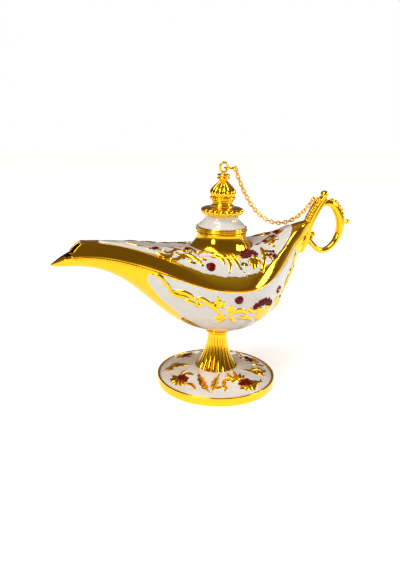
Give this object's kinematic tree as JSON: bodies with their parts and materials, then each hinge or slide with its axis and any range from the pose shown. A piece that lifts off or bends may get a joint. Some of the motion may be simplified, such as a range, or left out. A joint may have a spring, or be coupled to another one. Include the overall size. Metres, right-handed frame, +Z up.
{
  "type": "genie oil lamp",
  "caption": "Boat-shaped oil lamp on a reeded stem and round foot, with a lift-off lid tethered by a chain to a ring handle.",
  "frame": {"origin": "centre of the foot's resting face", "axes": "+Z up, -X along the spout, +X to the handle, -Y is the side shown in front"},
  "size_m": [0.1403, 0.056, 0.1038],
  "materials": {
    "plated_gold": "polished gold plating on zinc alloy",
    "ivory_enamel": "gloss pearl-ivory enamel",
    "garnet_enamel": "gloss garnet-red enamel",
    "fastener_steel": "zinc-plated screws and pins"
  },
  "bodies": {
    "lamp": {"foot_plate": "plated_gold", "foot_enamel": "ivory_enamel", "foot_blossoms": "garnet_enamel", "tie_screw": "fastener_steel", "tie_washer": "fastener_steel", "stem_column": "plated_gold", "stem_collar": "plated_gold", "hull_shell": "plated_gold", "deck_shell": "plated_gold", "hull_enamel_front": "ivory_enamel", "hull_enamel_back": "ivory_enamel", "hull_blossoms": "garnet_enamel", "deck_enamel": "ivory_enamel", "deck_blossoms": "garnet_enamel", "neck_collar": "plated_gold", "handle_stem": "plated_gold", "handle_ring": "plated_gold", "handle_top_ball": "plated_gold", "handle_thumb_ball": "plated_gold", "handle_leaf": "plated_gold", "handle_beading": "plated_gold", "handle_dowels": "fastener_steel", "handle_eye": "plated_gold"},
    "swivel_eye": {"swivel_eye": "plated_gold"},
    "lid": {"lid_ring": "plated_gold", "lid_dome": "ivory_enamel", "lid_gadroon": "plated_gold", "finial_neck": "plated_gold", "finial_bulb": "plated_gold", "finial_cap": "plated_gold", "lid_stud": "fastener_steel", "lid_nut": "fastener_steel"},
    "chain_run_1": {"chain_links_01": "plated_gold", "chain_links_02": "plated_gold", "chain_links_03": "plated_gold"},
    "chain_run_2": {"chain_links_04": "plated_gold", "chain_links_05": "plated_gold", "chain_links_06": "plated_gold"},
    "chain_run_3": {"chain_links_07": "plated_gold", "chain_links_08": "plated_gold", "chain_links_09": "plated_gold"},
    "chain_run_4": {"chain_links_10": "plated_gold", "chain_links_11": "plated_gold", "chain_links_12": "plated_gold"},
    "chain_run_5": {"chain_links_13": "plated_gold", "chain_links_14": "plated_gold", "chain_links_15": "plated_gold"},
    "chain_run_6": {"chain_links_16": "plated_gold", "chain_links_17": "plated_gold"},
    "jump_ring": {"jump_ring": "plated_gold"}
  },
  "joints": [
    {"name": "lid_lift", "type": "slide", "parent": "lamp", "child": "swivel_eye", "axis": [0, 0, 1], "range_m": [0, 0.015]},
    {"name": "lid_turn", "type": "hinge", "parent": "swivel_eye", "child": "lid", "pos_m": [0, 0, 0.0984], "axis": [0, 0, 1], "continuous": true},
    {"name": "chain_pivot_1", "type": "hinge", "parent": "lamp", "child": "chain_run_1", "pos_m": [0.0453, 0, 0.087], "axis": [0, -1, 0], "range_deg": [-31.49, 0.5]},
    {"name": "chain_pivot_2", "type": "hinge", "parent": "chain_run_1", "child": "chain_run_2", "pos_m": [0.03828, 0, 0.07923], "axis": [0, -1, 0], "range_deg": [-4.56, 0.5]},
    {"name": "chain_pivot_3", "type": "hinge", "parent": "chain_run_2", "child": "chain_run_3", "pos_m": [0.02851, 0, 0.07579], "axis": [0, -1, 0], "range_deg": [-0.5, 15.41]},
    {"name": "chain_pivot_4", "type": "hinge", "parent": "chain_run_3", "child": "chain_run_4", "pos_m": [0.01885, 0, 0.0795], "axis": [0, -1, 0], "range_deg": [-0.5, 13.6]},
    {"name": "chain_pivot_5", "type": "hinge", "parent": "chain_run_4", "child": "chain_run_5", "pos_m": [0.01193, 0, 0.08738], "axis": [0, -1, 0], "range_deg": [-0.5, 5.73]},
    {"name": "chain_pivot_6", "type": "hinge", "parent": "chain_run_5", "child": "chain_run_6", "pos_m": [0.00705, 0, 0.09668], "axis": [0, -1, 0], "range_deg": [-0.5, 1.96]},
    {"name": "ring_pivot", "type": "hinge", "parent": "chain_run_6", "child": "jump_ring", "pos_m": [0.00534, 0, 0.1009], "axis": [0, -1, 0], "range_deg": [-0.5, 0.83]}
  ],
  "couplings": [
    {"joint": "chain_pivot_1", "follows": "lid_lift", "rad_per_m": -36.055},
    {"joint": "chain_pivot_2", "follows": "lid_lift", "rad_per_m": -4.7233},
    {"joint": "chain_pivot_3", "follows": "lid_lift", "rad_per_m": 17.354},
    {"joint": "chain_pivot_4", "follows": "lid_lift", "rad_per_m": 15.247},
    {"joint": "chain_pivot_5", "follows": "lid_lift", "rad_per_m": 6.0863},
    {"joint": "chain_pivot_6", "follows": "lid_lift", "rad_per_m": 1.7032},
    {"joint": "ring_pivot", "follows": "lid_lift", "rad_per_m": 0.38708}
  ]
}
